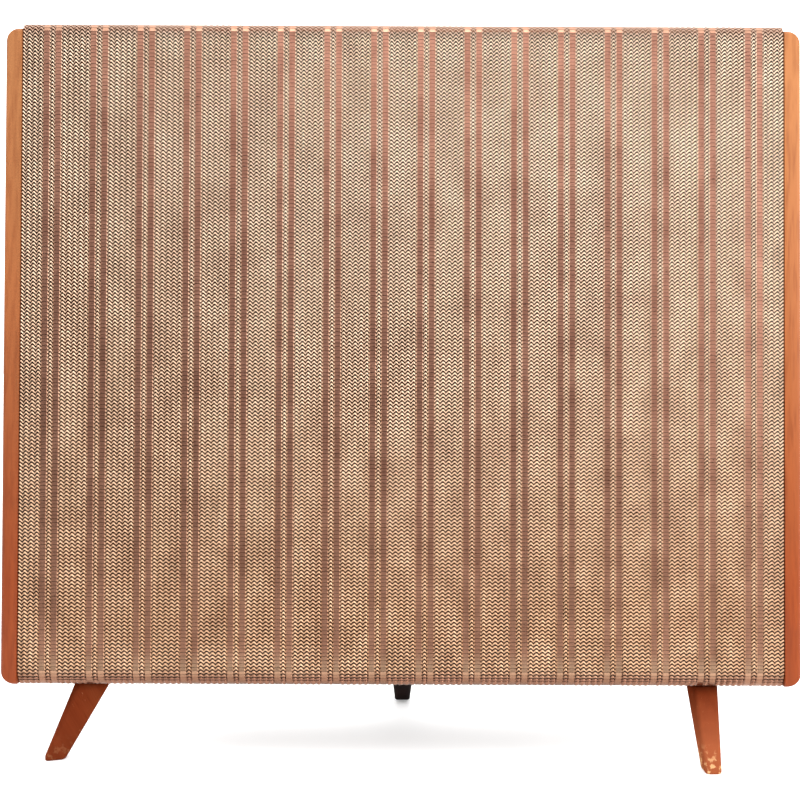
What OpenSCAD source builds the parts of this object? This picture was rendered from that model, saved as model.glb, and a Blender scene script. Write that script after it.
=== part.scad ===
// Full-range electrostatic loudspeaker on three legs.
// Two bass units and one treble unit stand side by side in a wooden frame that leans back.
// A formed metal grille wraps the front, wooden cheeks close the ends, and a sheet-metal
// box low on the back holds the transformers, the high-voltage supply and the terminals.

/* [Body] */
// Overall width over the two wooden cheeks
body_w = 876; // [800:1:950]
// Thickness of a wooden cheek
cheek_t = 18; // [14:1:24]
// Height of the grille, measured along its slope
panel_h = 728; // [640:1:780]
// Depth of the wooden frame behind the grille's face
frame_d = 52; // [48:1:60]
// Backward lean of the body, in degrees
lean = 5; // [3:0.5:8]
// Height of the body's front lower edge above the floor
ground_clear = 91; // [90:1:96]
// How far the cheeks stand in front of the grille
cheek_proud = 2; // [0.5:0.5:5]
// How much lower than the grille the tops of the cheeks are
cheek_drop = 5.5; // [0:0.5:8]
// How much higher than the grille's lower edge the bottoms of the cheeks are
cheek_lift = 1; // [0:0.5:5]

/* [Grille] */
// Thickness of the formed grille over its mesh bands
grille_t = 1.8; // [1.4:0.1:3]
// How far the flat strips lie below the mesh bands
flat_recess = 0.6; // [0.2:0.1:0.8]
// Width of one mesh column
column_w = 6.446; // [6:0.002:6.45]
// Radius of the grille's roll along its top edge
top_roll_r = 9; // [6:0.5:14]
// Radius of the grille's roll along its bottom edge
bottom_roll_r = 18; // [12:0.5:18]

/* [Frame] */
// Height of the top and bottom rails
rail_h = 40; // [36:1:48]
// Width of the two end stiles
stile_w = 24; // [18:1:30]
// Width of the two posts beside the treble unit
mullion_w = 24; // [16:1:30]
// Width of the treble unit's opening
treble_w = 224; // [180:1:240]

/* [Electronics box] */
// Width of the box
box_w = 580; // [560:1:600]
// Distance from the grille's front lower edge to the box's rear wall
box_back = 176; // [174:1:186]
// Height of the box's top edge at the front, above the floor
box_top_z = 206; // [200:1:215]
// Height of the box's top edge at the rear, above the floor
box_rear_z = 168; // [166:1:185]
// Thickness of the sheet metal
sheet_t = 1.2; // [0.8:0.1:1.6]

/* [Legs] */
// Height of the legs
leg_h = 86.2; // [86:0.1:86.2]
// Distance from the middle of the body to the left leg's pivot
left_leg_x = 345; // [325:1:350]
// Distance from the middle of the body to the right leg's pivot
right_leg_x = 338; // [325:1:350]
// How far the rear leg's pivot is to the right of the middle
rear_leg_x = 2.5; // [-5:0.5:5]
// Distance from the grille's front lower edge back to the front pivots
front_pivot = 38.5; // [37:0.5:40]
// Distance from the grille's front lower edge back to the rear pivot
rear_pivot = 157; // [150:0.5:157]
// Sideways run of a front leg from pivot to foot
front_leg_run = 44; // [35:1:48]
// Run of the rear leg from pivot to foot
rear_leg_run = 86.8; // [70:0.1:87]
// Direction of the left leg, in degrees from the right-hand side
left_leg_turn = 196.5; // [180:0.5:270]
// Direction of the right leg, in degrees from the right-hand side
right_leg_turn = 273; // [270:0.5:360]
// Radius of the pivot studs
stud_r = 4; // [3:0.5:5]

/* [Hidden] */
$fn = 48;

// Colours
wood = [0.66, 0.31, 0.15];
leg_wood = [0.50, 0.20, 0.11];
frame_wood = [0.80, 0.68, 0.50];
bronze = [0.70, 0.56, 0.44];
back_brown = [0.30, 0.20, 0.15];
steel = [0.62, 0.62, 0.64];
black_board = [0.10, 0.09, 0.09];

// World Y of the grille's front lower edge: the origin is under the middle of the whole object
front_y = -120.32;
half_w = body_w / 2;
cheek_x = half_w - cheek_t;
end_gap = 0.7;
grille_half = cheek_x - end_gap;
grille_gap = 1.2;
frame_inset = grille_t + grille_gap;
flange_d = 46;
frame_top = panel_h - frame_inset;
top_rail_z = frame_top - rail_h + 6;
bottom_rail_top = frame_inset + rail_h + 1;
mullion_x = treble_w / 2;
stile_x = cheek_x - stile_w;
eps = 0.01;

// Layers of an electrostatic unit, as distances behind the grille's face
stator_t = 2;
air_gap = 2.5;
film_t = 0.4;
front_stator_y = 10;
front_spacer_y = front_stator_y + stator_t;
film_y = front_spacer_y + air_gap;
rear_spacer_y = film_y + film_t;
rear_stator_y = rear_spacer_y + air_gap;
rear_face_y = rear_stator_y + stator_t;
unit_z0 = bottom_rail_top + 2;
unit_z1 = top_rail_z - 2;
unit_gap = 2;
spacer_w = 10;
rib_h = 3;
rib_w = 6;

// Rear grille and the plane that the electronics box is fixed to
rear_grille_y = frame_d + 0.3;
rear_grille_t = 1.5;
rear_grille_back = rear_grille_y + rear_grille_t;
wall_y = rear_grille_back + 0.4;

// Mesh bands: groups of five columns, then a flat, one column and a flat
period = 8 * column_w;
period_count = 15;
first_flat = -61 * column_w;

// Electronics box
box_half = box_w / 2;
floor_z = leg_h + 0.6;
floor_top = floor_z + sheet_t;
cover_back = front_y + box_back + sheet_t;
plate_t = 2.5;
plate_back = cover_back + plate_t;
plate_w = 164;
plate_h = 70;
plate_z = 127;
post_x = [-62, -38];
upper_row_z = 140;
lower_row_z = 113;
inlet_x = 48;
selector_x = -50;
fuse_x = 52;
fit_gap = 0.05;
brace_t = 3;

// Legs
bush_r = 13;
bush_flange_r = 17.5;
bush_flange_t = 2;
bush_z = leg_h + 0.3;
lead_z = 52;
lead_x = [-200, 0, 200];
front_pivots = [[-left_leg_x, front_y + front_pivot], [right_leg_x, front_y + front_pivot]];
rear_pivot_at = [rear_leg_x, front_y + rear_pivot];

// ---------------------------------------------------------------- helpers

// Places children, drawn upright, on the leaning body
module on_body() {
    translate([0, front_y, ground_clear])
        rotate([-lean, 0, 0])
            children();
}

// Extrudes a side view (depth, height) along X, centred
module across(w) {
    translate([-w / 2, 0, 0])
        rotate([90, 0, 90])
            linear_extrude(height = w)
                children();
}

// A cylinder along +Y from y0 to y1
module bar_y(x, y0, y1, z, r) {
    translate([x, y0, z])
        rotate([-90, 0, 0])
            cylinder(r = r, h = y1 - y0);
}

// A box given by its lowest and highest corners
module block(lo, hi) {
    translate(lo)
        cube(hi - lo);
}

// A rectangle given by its lowest and highest corners
module block2d(x0, y0, x1, y1) {
    translate([x0, y0])
        square([x1 - x0, y1 - y0]);
}

// Rectangle with round corners, centred
module rounded_rect(w, h, r) {
    square([w - 2 * r, h], center = true);
    square([w, h - 2 * r], center = true);
    for (sx = [-1, 1], sy = [-1, 1])
        translate([sx * (w / 2 - r), sy * (h / 2 - r)])
            circle(r);
}

// Side view of the body: round at the two front corners, set in by inset
module body_section(inset, depth) {
    translate([bottom_roll_r, bottom_roll_r])
        circle(bottom_roll_r - inset);
    translate([top_roll_r, panel_h - top_roll_r])
        circle(top_roll_r - inset);
    translate([inset, bottom_roll_r])
        square([depth - inset, panel_h - bottom_roll_r - top_roll_r]);
    translate([bottom_roll_r, inset])
        square([depth - bottom_roll_r, bottom_roll_r]);
    translate([top_roll_r, panel_h - 2 * top_roll_r])
        square([depth - top_roll_r, 2 * top_roll_r - inset]);
}

// World Y of a plane parallel to the grille, depth behind its face, at world height z
function plane_y(depth, z) = front_y + depth / cos(lean) + (z - ground_clear) * tan(lean);

// ---------------------------------------------------------------- wooden case

module cheek() {
    z0 = cheek_lift;
    z1 = panel_h - cheek_drop;
    depth = frame_d + cheek_proud + 6;
    edge_r = 4;
    corner_r = 18;
    color(wood)
        intersection() {
            // side view
            translate([cheek_x, -cheek_proud, 0])
                rotate([90, 0, 90])
                    linear_extrude(height = cheek_t)
                        translate([depth / 2, (z0 + z1) / 2])
                            rounded_rect(depth, z1 - z0, edge_r);
            // front view, round at the outer corners
            translate([0, depth, 0])
                rotate([90, 0, 0])
                    linear_extrude(height = 2 * depth) {
                        block2d(cheek_x - 1, z0 + corner_r, half_w, z1 - corner_r);
                        translate([half_w - corner_r, z1 - corner_r])
                            circle(corner_r);
                        translate([half_w - corner_r, z0 + corner_r])
                            circle(corner_r);
                    }
            // plan view, round at the two outer edges
            translate([0, 0, -1])
                linear_extrude(height = panel_h) {
                    block2d(cheek_x - 1, -cheek_proud, half_w - edge_r, depth - cheek_proud);
                    block2d(cheek_x - 1, edge_r - cheek_proud, half_w, depth - cheek_proud - edge_r);
                    translate([half_w - edge_r, edge_r - cheek_proud])
                        circle(edge_r);
                    translate([half_w - edge_r, depth - cheek_proud - edge_r])
                        circle(edge_r);
                }
        }
}

module left_cheek() {
    on_body()
        mirror([1, 0, 0])
            cheek();
}

module right_cheek() {
    on_body()
        cheek();
}

// A rail that follows the body's side view between two heights
module rail(z0, z1) {
    intersection() {
        across(2 * cheek_x)
            body_section(frame_inset, frame_d);
        block([-half_w, 0, z0], [half_w, frame_d + 1, z1]);
    }
}

module top_rail() {
    color(frame_wood)
        on_body()
            rail(top_rail_z, panel_h);
}

module bottom_rail() {
    color(frame_wood)
        difference() {
            on_body()
                rail(0, bottom_rail_top);
            for (p = front_pivots) {
                translate([p[0], p[1], bush_z - 10])
                    cylinder(r = bush_r, h = 24);
                translate([p[0], p[1], bush_z])
                    cylinder(r = stud_r + 1, h = 26);
            }
        }
}

// An upright of the frame from x0 to x1
module upright(x0, x1) {
    color(frame_wood)
        on_body()
            block([x0, frame_inset, bottom_rail_top], [x1, frame_d, top_rail_z]);
}

module left_stile() {
    upright(-cheek_x, -stile_x);
}

module right_stile() {
    upright(stile_x, cheek_x);
}

module left_mullion() {
    upright(-mullion_x - mullion_w, -mullion_x);
}

module right_mullion() {
    upright(mullion_x, mullion_x + mullion_w);
}

module corner_blocks() {
    size = 42;
    color(frame_wood)
        on_body()
            for (sx = [0, 1], top = [0, 1])
                mirror([sx, 0, 0])
                    translate([stile_x, 42, top == 1 ? top_rail_z : bottom_rail_top])
                        rotate([90, 0, 0])
                            linear_extrude(height = 18)
                                polygon([[0, 0], [-size, 0], [0, top == 1 ? -size : size]]);
}

module cheek_screws() {
    color(steel)
        on_body()
            for (sx = [0, 1], z = [84, 224, 364, 504, 644])
                mirror([sx, 0, 0])
                    translate([stile_x, 30, z])
                        rotate([0, 90, 0]) {
                            cylinder(r1 = 4.5, r2 = 2.2, h = 3);
                            cylinder(r = 2.2, h = 36);
                        }
}

// ---------------------------------------------------------------- grilles

// Sheet between two insets of the body's side view, from x0 to x1
module wrapped_sheet(x0, x1, outer, inner) {
    translate([(x0 + x1) / 2, 0, 0])
        across(x1 - x0)
            difference() {
                body_section(outer, flange_d);
                body_section(inner, flange_d + 1);
            }
}

module front_grille() {
    color(bronze)
        difference() {
            on_body() {
                wrapped_sheet(-grille_half, grille_half, flat_recess, grille_t);
                wrapped_sheet(-grille_half, first_flat - column_w / 2, 0, 1);
                wrapped_sheet(-first_flat + column_w / 2, grille_half, 0, 1);
                for (k = [0 : period_count]) {
                    x = first_flat + k * period;
                    wrapped_sheet(x + column_w / 2, x + 1.5 * column_w, 0, 1);
                    if (k < period_count)
                        wrapped_sheet(x + 2.5 * column_w, x + 7.5 * column_w, 0, 1);
                }
            }
            for (p = front_pivots)
                translate([p[0], p[1], 70])
                    cylinder(r = bush_flange_r + 0.3, h = 26);
        }
}

module rear_grille() {
    color(back_brown)
        on_body()
            difference() {
                block([-grille_half, rear_grille_y, 6], [grille_half, rear_grille_back, panel_h - 6]);
                for (x = lead_x)
                    bar_y(x, rear_grille_y - 1, rear_grille_back + 1, lead_z, 3);
            }
}

module grille_clamp_strips() {
    strip_t = 1.2;
    over = 38;
    color(bronze)
        on_body() {
            // angle over the top rear edge
            block([-grille_half, over, panel_h], [grille_half, rear_grille_back + strip_t,
                                                  panel_h + strip_t]);
            block([-grille_half, rear_grille_back, panel_h - 18],
                  [grille_half, rear_grille_back + strip_t, panel_h + strip_t]);
            // flat strip under the bottom edge, between the front legs
            block([-300, over - 4, -strip_t], [300, flange_d, 0]);
        }
}

// One pan-head screw driven forward into the frame, its head seated at depth y
module rear_screw(x, y, z) {
    bar_y(x, y, y + 1.8, z, 4);
    bar_y(x, y - 14, y + 0.5, z, 1.6);
}

module grille_screws() {
    color(steel)
        on_body() {
            for (x = [-400, -240, -80, 80, 240, 400])
                rear_screw(x, rear_grille_back + 1.2, panel_h - 11);
            for (x = [-404, -330, 330, 404])
                rear_screw(x, rear_grille_back, 22);
            for (x = [-408, 408], z = [190, 364, 540])
                rear_screw(x, rear_grille_back, z);
            for (x = [-mullion_x - 12, mullion_x + 12], z = [250, 480])
                rear_screw(x, rear_grille_back, z);
        }
}

// ---------------------------------------------------------------- electrostatic units

// Perforated stator plate with stiffening ribs on side (-1 front, 1 rear)
module stator(x0, x1, y, side, slots) {
    rows = 12;
    margin = 16;
    pitch_x = (x1 - x0 - 2 * margin) / slots;
    pitch_z = (unit_z1 - unit_z0 - 2 * margin) / rows;
    difference() {
        block([x0, y, unit_z0], [x1, y + stator_t, unit_z1]);
        for (i = [0 : slots - 1], j = [0 : rows - 1])
            block([x0 + margin + (i + 0.2) * pitch_x, y - 1, unit_z0 + margin + (j + 0.12) * pitch_z],
                  [x0 + margin + (i + 0.8) * pitch_x, y + stator_t + 1,
                   unit_z0 + margin + (j + 0.88) * pitch_z]);
    }
    rib_y = side < 0 ? y - rib_h : y + stator_t;
    for (j = [0 : 3 : rows])
        block([x0 + 2, rib_y, unit_z0 + margin + j * pitch_z - rib_w / 2],
              [x1 - 2, rib_y + rib_h, unit_z0 + margin + j * pitch_z + rib_w / 2]);
}

// Rectangular ring, w wide, between two depths
module ring(x0, x1, y0, y1, z0, z1, w) {
    difference() {
        block([x0, y0, z0], [x1, y1, z1]);
        block([x0 + w, y0 - 1, z0 + w], [x1 - w, y1 + 1, z1 - w]);
    }
}

module spacers(x0, x1) {
    ring(x0, x1, front_spacer_y, film_y, unit_z0, unit_z1, spacer_w);
    ring(x0, x1, rear_spacer_y, rear_stator_y, unit_z0, unit_z1, spacer_w);
}

module film(x0, x1) {
    block([x0, film_y, unit_z0], [x1, rear_spacer_y, unit_z1]);
}

bass_x0 = -stile_x + unit_gap;
bass_x1 = -mullion_x - mullion_w - unit_gap;
treble_x1 = mullion_x - unit_gap;
bass_slots = 9;
treble_slots = 14;

module bass_left_front_stator() {
    color(black_board)
        on_body()
            stator(bass_x0, bass_x1, front_stator_y, -1, bass_slots);
}

module bass_left_spacer() {
    color("tan")
        on_body()
            spacers(bass_x0, bass_x1);
}

module bass_left_diaphragm() {
    color("lightgray")
        on_body()
            film(bass_x0, bass_x1);
}

module bass_left_rear_stator() {
    color(black_board)
        on_body()
            stator(bass_x0, bass_x1, rear_stator_y, 1, bass_slots);
}

module treble_front_stator() {
    color("dimgray")
        on_body()
            stator(-treble_x1, treble_x1, front_stator_y, -1, treble_slots);
}

module treble_spacer() {
    color("tan")
        on_body()
            spacers(-treble_x1, treble_x1);
}

module treble_diaphragm() {
    color("lightgray")
        on_body()
            film(-treble_x1, treble_x1);
}

module treble_rear_stator() {
    color("dimgray")
        on_body()
            stator(-treble_x1, treble_x1, rear_stator_y, 1, treble_slots);
}

module bass_right_front_stator() {
    color(black_board)
        on_body()
            stator(-bass_x1, -bass_x0, front_stator_y, -1, bass_slots);
}

module bass_right_spacer() {
    color("tan")
        on_body()
            spacers(-bass_x1, -bass_x0);
}

module bass_right_diaphragm() {
    color("lightgray")
        on_body()
            film(-bass_x1, -bass_x0);
}

module bass_right_rear_stator() {
    color(black_board)
        on_body()
            stator(-bass_x1, -bass_x0, rear_stator_y, 1, bass_slots);
}

// Film on a light frame; the film is on the side that faces out
module dust_cover(x0, x1, y0, y1, z0, film_at_front) {
    film_y0 = film_at_front ? y0 : y1 - film_t;
    ring(x0, x1, y0, y1, z0, unit_z1, 8);
    block([x0 + 1, film_y0, z0 + 1], [x1 - 1, film_y0 + film_t, unit_z1 - 1]);
}

module front_dust_covers() {
    color("gainsboro")
        on_body()
            for (x = [[bass_x0, bass_x1], [-treble_x1, treble_x1], [-bass_x1, -bass_x0]])
                dust_cover(x[0], x[1], 3.4, 6.2, unit_z0, true);
}

module rear_dust_covers() {
    color("gainsboro")
        on_body()
            for (x = [[bass_x0, bass_x1], [-treble_x1, treble_x1], [-bass_x1, -bass_x0]])
                dust_cover(x[0], x[1], 44, 47, lead_z + 10, false);
}

module treble_felt() {
    color("slategray")
        on_body()
            block([-treble_x1 + 6, rear_face_y + rib_h + 0.5, unit_z0 + 16],
                  [treble_x1 - 6, rear_face_y + rib_h + 12, unit_z1 - 6]);
}

// Angle clips that hold the units to the uprights
module panel_clips() {
    clip_h = 24;
    clip_t = 1.2;
    color(steel)
        on_body()
            for (x = [-stile_x, -mullion_x, mullion_x + mullion_w], z = [130, 290, 590]) {
                block([x, rear_face_y, z], [x + 12, rear_face_y + clip_t, z + clip_h]);
                block([x, rear_face_y, z], [x + clip_t, rear_face_y + 14, z + clip_h]);
                block([-x - 12, rear_face_y, z], [-x, rear_face_y + clip_t, z + clip_h]);
                block([-x - clip_t, rear_face_y, z], [-x, rear_face_y + 14, z + clip_h]);
            }
}

// ---------------------------------------------------------------- electronics box

// Side view of the box, grown by g at the top and rear
module box_section(g) {
    polygon([
        [plane_y(wall_y, floor_z), floor_z],
        [front_y + box_back + g, floor_z],
        [front_y + box_back + g, box_rear_z + g],
        [plane_y(wall_y, box_top_z + g), box_top_z + g]
    ]);
}

// Height of the underside of the sloping top at world y
function box_roof_z(y) =
    box_rear_z + (box_top_z - box_rear_z) * (front_y + box_back - y)
        / (front_y + box_back - plane_y(wall_y, box_top_z));

// Side view of the tray's ends, just inside the cover
module tray_end_section() {
    back = front_y + box_back;
    inner = wall_y + sheet_t / 2;
    low = 0.3;
    polygon([
        [plane_y(inner, floor_z), floor_z],
        [back, floor_z],
        [back, box_rear_z - low],
        [plane_y(inner, box_top_z - 2), box_roof_z(plane_y(inner, box_top_z - 2)) - low]
    ]);
}

module electronics_tray() {
    wall_in = wall_y + sheet_t;
    wall_top = box_top_z - 1;
    color(back_brown)
        difference() {
            union() {
                // floor
                block([-box_half, plane_y(wall_in, floor_z) - 1, floor_z],
                      [box_half, front_y + box_back, floor_top]);
                // wall against the rear grille
                across(box_w)
                    polygon([
                        [plane_y(wall_y, floor_z), floor_z],
                        [plane_y(wall_in, floor_z), floor_z],
                        [plane_y(wall_in, wall_top), wall_top],
                        [plane_y(wall_y, wall_top), wall_top]
                    ]);
                // ends
                for (sx = [-1, 1])
                    translate([sx * (box_half - sheet_t / 2), 0, 0])
                        across(sheet_t)
                            tray_end_section();
            }
            on_body()
                for (x = lead_x)
                    bar_y(x, wall_y - 2, wall_y + 4, lead_z, 3);
            translate([rear_pivot_at[0], rear_pivot_at[1], floor_z - 1])
                cylinder(r = bush_r, h = 4);
        }
}

// Row of upright cooling slots, given by their middles along X
module cooling_slots(middles, y0, y1, z0, z1) {
    slot_w = 4;
    for (x = middles)
        block([x - slot_w / 2, y0, z0], [x + slot_w / 2, y1, z1]);
}

module electronics_cover() {
    slot_h = 34;
    slot_pitch = 14;
    slots = 12;
    inner_back = front_y + box_back;
    lip_low = 14;
    lip_top = 40;
    color(back_brown)
        difference() {
            across(box_w + 2 * sheet_t)
                box_section(sheet_t);
            across(box_w)
                box_section(0);
            // the cover has no bottom, and its ends are only lips
            block([-half_w, front_y, floor_z - 1],
                  [half_w, inner_back - lip_low, box_rear_z - 14]);
            block([-half_w, front_y, floor_z - 1],
                  [half_w, inner_back - lip_top, box_rear_z + 6]);
            // window behind the terminal plate
            block([-plate_w / 2 + 6, inner_back - 1, plate_z - plate_h / 2 + 6],
                  [plate_w / 2 - 6, cover_back + 1, plate_z + plate_h / 2 - 6]);
            // cooling slots in the rear wall, on both sides of the plate
            for (sx = [-1, 1])
                cooling_slots([for (i = [0 : slots - 1]) sx * (plate_w / 2 + 30 + i * slot_pitch)],
                              inner_back - 1, cover_back + 1,
                              plate_z - slot_h / 2, plate_z + slot_h / 2);
            // cooling slots in the sloping top
            cooling_slots([for (i = [-18 : 18]) i * slot_pitch],
                          inner_back - 2 * lip_top, inner_back - lip_top - 6,
                          box_rear_z - 5, box_top_z + 10);
        }
}

module cover_screws() {
    color(steel) {
        // through the cover's lips into the tray's ends
        for (sx = [-1, 1], z = [106, 146])
            translate([sx * (box_half + sheet_t), front_y + box_back - 7, z])
                rotate([0, sx * 90, 0]) {
                    cylinder(r = 3.5, h = 1.6);
                    translate([0, 0, -8])
                        cylinder(r = 1.5, h = 8.5);
                }
        // corners of the terminal plate
        for (sx = [-1, 1], sz = [-1, 1]) {
            bar_y(sx * (plate_w / 2 - 5), plate_back, plate_back + 1.6,
                  plate_z + sz * (plate_h / 2 - 5), 3);
            bar_y(sx * (plate_w / 2 - 5), plate_back - 7, plate_back + 0.5,
                  plate_z + sz * (plate_h / 2 - 5), 1.4);
        }
        // through the tray's wall into the bottom rail
        on_body()
            for (x = [-270, -100, 100, 270])
                rear_screw(x, wall_y + sheet_t, 26);
    }
}

module chassis_brace() {
    brace_half = 45;
    color(steel)
        difference() {
            block([-brace_half, plane_y(wall_y + sheet_t, floor_top + brace_t + 1), floor_top],
                  [brace_half, front_y + box_back - 2, floor_top + brace_t]);
            translate([rear_pivot_at[0], rear_pivot_at[1], floor_z - 1])
                cylinder(r = bush_r, h = 8);
        }
}

// EI transformer core, centred on x and y, standing on the tray's floor
module transformer_core(x, y, w, d, h) {
    limb = w / 3;
    window_w = w / 6;
    color([0.25, 0.25, 0.27])
        difference() {
            block([x - w / 2, y - d / 2, floor_top], [x + w / 2, y + d / 2, floor_top + h]);
            for (sx = [-1, 1])
                block([x + sx * (limb / 2 + window_w / 2) - window_w / 2, y - d, floor_top + window_w],
                      [x + sx * (limb / 2 + window_w / 2) + window_w / 2, y + d,
                       floor_top + h - window_w]);
        }
}

// Winding around the middle limb of a core of the same size
module transformer_winding(x, y, w, d, h, shade) {
    limb = w / 3;
    window_w = w / 6;
    gap = 0.4;
    bulge = 10;
    z0 = floor_top + window_w + gap;
    z1 = floor_top + h - window_w - gap;
    color(shade)
        difference() {
            block([x - limb / 2 - window_w + gap, y - d / 2 - bulge, z0],
                  [x + limb / 2 + window_w - gap, y + d / 2 + bulge, z1]);
            block([x - limb / 2 - gap, y - d / 2 - gap, z0 - 1], [x + limb / 2 + gap, y + d / 2 + gap,
                                                                 z1 + 1]);
        }
}

audio_at = [-190, front_y + 112];
audio_size = [84, 44, 70];
mains_at = [200, front_y + 112];
mains_size = [66, 38, 56];

module audio_transformer_core() {
    transformer_core(audio_at[0], audio_at[1], audio_size[0], audio_size[1], audio_size[2]);
}

module audio_transformer_windings() {
    transformer_winding(audio_at[0], audio_at[1], audio_size[0], audio_size[1], audio_size[2],
                        "goldenrod");
}

module mains_transformer_core() {
    transformer_core(mains_at[0], mains_at[1], mains_size[0], mains_size[1], mains_size[2]);
}

module mains_transformer_windings() {
    transformer_winding(mains_at[0], mains_at[1], mains_size[0], mains_size[1], mains_size[2],
                        "peru");
}

multiplier_x = [64, 138];
multiplier_y = front_y + 84;

module multiplier_block() {
    color([0.35, 0.20, 0.12]) {
        block([multiplier_x[0], multiplier_y, floor_top], [multiplier_x[1], multiplier_y + 44, 148]);
        for (x = [multiplier_x[0] + 14, multiplier_x[1] - 14])
            translate([x, multiplier_y + 22, 147])
                cylinder(r = 5, h = 11);
    }
}

board_x = [-128, -56];
board_y = front_y + 86;
board_t = 2;

module network_board() {
    color("saddlebrown")
        block([board_x[0], board_y, floor_top], [board_x[1], board_y + board_t, 164]);
}

module network_parts() {
    part_y = board_y + board_t;
    // resistors across the board
    color("firebrick")
        for (z = [112, 124, 136])
            translate([board_x[0] + 10, part_y + 3.5, z])
                rotate([0, 90, 0])
                    cylinder(r = 3.5, h = 26);
    // capacitors standing off the board
    color("khaki")
        for (z = [116, 140])
            bar_y(board_x[1] - 16, part_y, part_y + 22, z, 9);
}

// Three leads to the units, a bundle along the box's wall and one lead to the multiplier
module hv_leads() {
    bundle_y = 63;
    bundle_r = 3;
    lead_r = 2;
    color("crimson")
        on_body() {
            for (x = lead_x)
                bar_y(x, rear_face_y, bundle_y, lead_z, lead_r);
            bar_y(multiplier_x[0] + 20, bundle_y, bundle_y + 20, lead_z, lead_r);
            translate([lead_x[0] - 6, bundle_y, lead_z])
                rotate([0, 90, 0])
                    cylinder(r = bundle_r, h = lead_x[2] - lead_x[0] + 12);
        }
}

// ---------------------------------------------------------------- rear terminals

module terminal_plate() {
    color(black_board)
        difference() {
            translate([0, plate_back, plate_z])
                rotate([90, 0, 0])
                    linear_extrude(height = plate_t)
                        rounded_rect(plate_w, plate_h, 5);
            for (x = post_x)
                bar_y(x, cover_back - 1, plate_back + 1, upper_row_z, 4);
            bar_y(inlet_x, cover_back - 1, plate_back + 1, upper_row_z - 4, 15.5);
            bar_y(selector_x, cover_back - 1, plate_back + 1, lower_row_z, 9);
            bar_y(fuse_x, cover_back - 1, plate_back + 1, fuse_z, 6.5);
        }
}

module terminal_posts() {
    color("goldenrod")
        for (x = post_x) {
            bar_y(x, plate_back, plate_back + 3, upper_row_z, 7);
            bar_y(x, plate_back - 14, plate_back + 16, upper_row_z, 2.5);
            bar_y(x, plate_back - plate_t, plate_back + 1, upper_row_z, 4);
        }
}

// Knurled nut on a terminal post
module terminal_nut(x) {
    nut_y = plate_back + 3.3;
    flutes = 12;
    difference() {
        union() {
            bar_y(x, nut_y, nut_y + 3, upper_row_z, 7);
            bar_y(x, nut_y + 3, nut_y + 12, upper_row_z, 6.2);
        }
        bar_y(x, nut_y - 1, nut_y + 13, upper_row_z, 2.5 + fit_gap);
        for (a = [0 : flutes - 1])
            translate([x, 0, upper_row_z])
                rotate([0, a * 360 / flutes, 0])
                    bar_y(6.8, nut_y + 4, nut_y + 13, 0, 1);
    }
}

module red_terminal_nut() {
    color("red")
        terminal_nut(post_x[0]);
}

module black_terminal_nut() {
    color([0.08, 0.08, 0.08])
        terminal_nut(post_x[1]);
}

inlet_z = upper_row_z - 4;
inlet_floor_y = plate_back - 16;

module mains_inlet() {
    color([0.07, 0.06, 0.06])
        difference() {
            union() {
                bar_y(inlet_x, plate_back, plate_back + 2, inlet_z, 19);
                bar_y(inlet_x, inlet_floor_y - 3, plate_back + 2, inlet_z, 15.5);
            }
            bar_y(inlet_x, inlet_floor_y, plate_back + 4, inlet_z, 13.5);
        }
}

module mains_pins() {
    color("goldenrod")
        for (a = [90, 210, 330])
            bar_y(inlet_x + 8 * cos(a), inlet_floor_y, inlet_floor_y + 10, inlet_z + 8 * sin(a), 1.8);
}

dial_y = plate_back + 4.3;

module selector_body() {
    color([0.12, 0.10, 0.09])
        difference() {
            union() {
                bar_y(selector_x, plate_back, plate_back + 4, lower_row_z, 11.5);
                bar_y(selector_x, plate_back - 22, plate_back + 1, lower_row_z, 9);
            }
            bar_y(selector_x, plate_back - 10, plate_back + 5, lower_row_z, 3 + fit_gap);
        }
}

module selector_dial() {
    color([0.85, 0.80, 0.68])
        difference() {
            union() {
                bar_y(selector_x, dial_y, dial_y + 4, lower_row_z, 10);
                bar_y(selector_x, plate_back - 9, dial_y + 1, lower_row_z, 3);
                block([selector_x - 2, dial_y + 3.5, lower_row_z - 9],
                      [selector_x + 2, dial_y + 9, lower_row_z + 9]);
            }
            // index mark at the upper end of the grip
            block([selector_x - 0.6, dial_y + 8, lower_row_z + 4], [selector_x + 0.6, dial_y + 10,
                                                                    lower_row_z + 10]);
        }
}

fuse_z = lower_row_z - 6;

module fuse_holder() {
    color([0.07, 0.06, 0.06])
        difference() {
            union() {
                bar_y(fuse_x, plate_back, plate_back + 2, fuse_z, 8);
                bar_y(fuse_x, plate_back - 36, plate_back + 1, fuse_z, 6.5);
            }
            bar_y(fuse_x, plate_back - 34, plate_back + 3, fuse_z, 5.5 + fit_gap);
        }
}

module fuse() {
    color("silver") {
        bar_y(fuse_x, plate_back - 34, plate_back - 29, fuse_z, 2.6);
        bar_y(fuse_x, plate_back - 29, plate_back - 13, fuse_z, 2.4);
        bar_y(fuse_x, plate_back - 13, plate_back - 8, fuse_z, 2.6);
    }
}

module fuse_cap() {
    cap_y = plate_back + 2.3;
    color([0.07, 0.06, 0.06])
        difference() {
            union() {
                bar_y(fuse_x, plate_back - 7, cap_y + 1, fuse_z, 5.5);
                bar_y(fuse_x, cap_y, cap_y + 6, fuse_z, 7);
            }
            // coin slot
            block([fuse_x - 5, cap_y + 4, fuse_z - 0.8], [fuse_x + 5, cap_y + 7, fuse_z + 0.8]);
        }
}

// ---------------------------------------------------------------- legs

// Steel bushes that the leg studs turn in
module leg_bushes() {
    color(steel) {
        for (p = front_pivots)
            translate([p[0], p[1], bush_z]) {
                bush(bush_r, 14);
                bush(bush_flange_r, bush_flange_t);
            }
        translate([rear_pivot_at[0], rear_pivot_at[1], bush_z])
            bush(bush_r, 8.5);
        translate([rear_pivot_at[0], rear_pivot_at[1], floor_top + brace_t])
            bush(bush_flange_r, 3);
    }
}

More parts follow.
